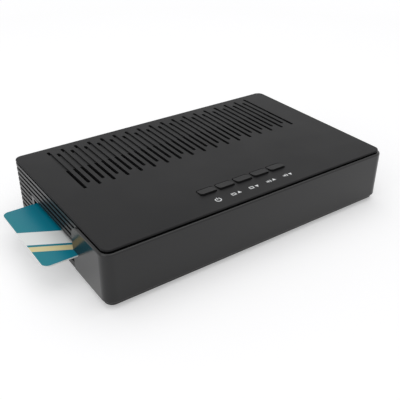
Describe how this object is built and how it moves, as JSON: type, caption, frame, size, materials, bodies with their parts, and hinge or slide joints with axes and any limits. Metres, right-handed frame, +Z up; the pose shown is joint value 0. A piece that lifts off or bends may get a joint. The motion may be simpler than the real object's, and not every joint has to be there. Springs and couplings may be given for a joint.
{
  "type": "satellite tv receiver",
  "caption": "Low box-shaped satellite receiver with a vented lid, louvred sides, wrap-round glossy fascia, lid keys and a removable smart card in its left side.",
  "frame": {"origin": "centre of the overall footprint, with the inserted card and the rear sockets, on the surface that the feet stand on", "axes": "+X to the right seen from the front, +Y from the front to the rear, +Z up"},
  "size_m": [0.19, 0.1152, 0.0323],
  "materials": {
    "case_plastic": "matte",
    "lid_plastic": "fine textured",
    "gloss_plastic": "gloss",
    "card_plastic": "satin",
    "gold_contacts": "polished",
    "black_plastic": "matte",
    "white_plastic": "satin",
    "orange_plastic": "satin",
    "tinned_steel": "satin",
    "circuit_board": "satin",
    "chip_epoxy": "matte",
    "sink_aluminium": "anodised",
    "can_aluminium": "satin",
    "nickel": "plated",
    "smoked_lens": "gloss",
    "lamp_lens": "clear",
    "zinc_steel": "plated",
    "foot_rubber": "matte"
  },
  "bodies": {
    "housing": {"lower_case": "case_plastic", "top_cover": "lid_plastic", "front_fascia": "gloss_plastic", "rear_panel": "case_plastic", "card_mouth": "gloss_plastic", "reader_frame": "black_plastic", "reader_contacts": "gold_contacts", "reader_lid": "tinned_steel", "reader_board": "circuit_board", "reader_spacers": "white_plastic", "key_board": "circuit_board", "key_switches": "black_plastic", "main_board": "circuit_board", "main_chip": "chip_epoxy", "heat_sink": "sink_aluminium", "memory_chips": "chip_epoxy", "capacitors": "can_aluminium", "power_coils": "chip_epoxy", "crystal": "tinned_steel", "chip_parts": "chip_epoxy", "tuner_can": "tinned_steel", "aerial_socket": "nickel", "aerial_insulator": "white_plastic", "audio_socket": "orange_plastic", "audio_barrel": "nickel", "audio_insulator": "orange_plastic", "video_shell": "nickel", "video_insert": "black_plastic", "usb_shell": "nickel", "usb_insert": "white_plastic", "scart_socket": "black_plastic", "lan_socket": "black_plastic", "lan_contacts": "gold_contacts", "power_socket": "black_plastic", "power_pin": "nickel", "front_board": "circuit_board", "infrared_eye": "smoked_lens", "status_lamp": "lamp_lens", "ribbon_headers": "white_plastic", "front_ribbon": "white_plastic", "key_ribbon": "white_plastic", "reader_ribbon": "white_plastic", "case_screws": "zinc_steel", "board_screws": "zinc_steel", "rubber_feet": "foot_rubber"},
    "smart_card": {"smart_card": "card_plastic", "card_chip": "gold_contacts"},
    "key_power": {"key_power": "lid_plastic", "switch_plunger_1": "black_plastic"},
    "key_channel_up": {"key_channel_up": "lid_plastic", "switch_plunger_2": "black_plastic"},
    "key_channel_down": {"key_channel_down": "lid_plastic", "switch_plunger_3": "black_plastic"},
    "key_volume_up": {"key_volume_up": "lid_plastic", "switch_plunger_4": "black_plastic"},
    "key_volume_down": {"key_volume_down": "lid_plastic", "switch_plunger_5": "black_plastic"}
  },
  "joints": [
    {"name": "card_slide", "type": "slide", "parent": "housing", "child": "smart_card", "axis": [-1, 0, 0], "range_m": [0, 0.072]},
    {"name": "key_power_press", "type": "hinge", "parent": "housing", "child": "key_power", "pos_m": [-0.01275, -0.03135, 0.02805], "axis": [1, 0, 0], "range_deg": [0, 2.1], "stiffness_Nm_per_rad": 0.05, "springref_deg": -2.86},
    {"name": "key_channel_up_press", "type": "hinge", "parent": "housing", "child": "key_channel_up", "pos_m": [-0.00175, -0.03135, 0.02805], "axis": [1, 0, 0], "range_deg": [0, 2.1], "stiffness_Nm_per_rad": 0.05, "springref_deg": -2.86},
    {"name": "key_channel_down_press", "type": "hinge", "parent": "housing", "child": "key_channel_down", "pos_m": [0.00925, -0.03135, 0.02805], "axis": [1, 0, 0], "range_deg": [0, 2.1], "stiffness_Nm_per_rad": 0.05, "springref_deg": -2.86},
    {"name": "key_volume_up_press", "type": "hinge", "parent": "housing", "child": "key_volume_up", "pos_m": [0.02025, -0.03135, 0.02805], "axis": [1, 0, 0], "range_deg": [0, 2.1], "stiffness_Nm_per_rad": 0.05, "springref_deg": -2.86},
    {"name": "key_volume_down_press", "type": "hinge", "parent": "housing", "child": "key_volume_down", "pos_m": [0.03125, -0.03135, 0.02805], "axis": [1, 0, 0], "range_deg": [0, 2.1], "stiffness_Nm_per_rad": 0.05, "springref_deg": -2.86}
  ]
}
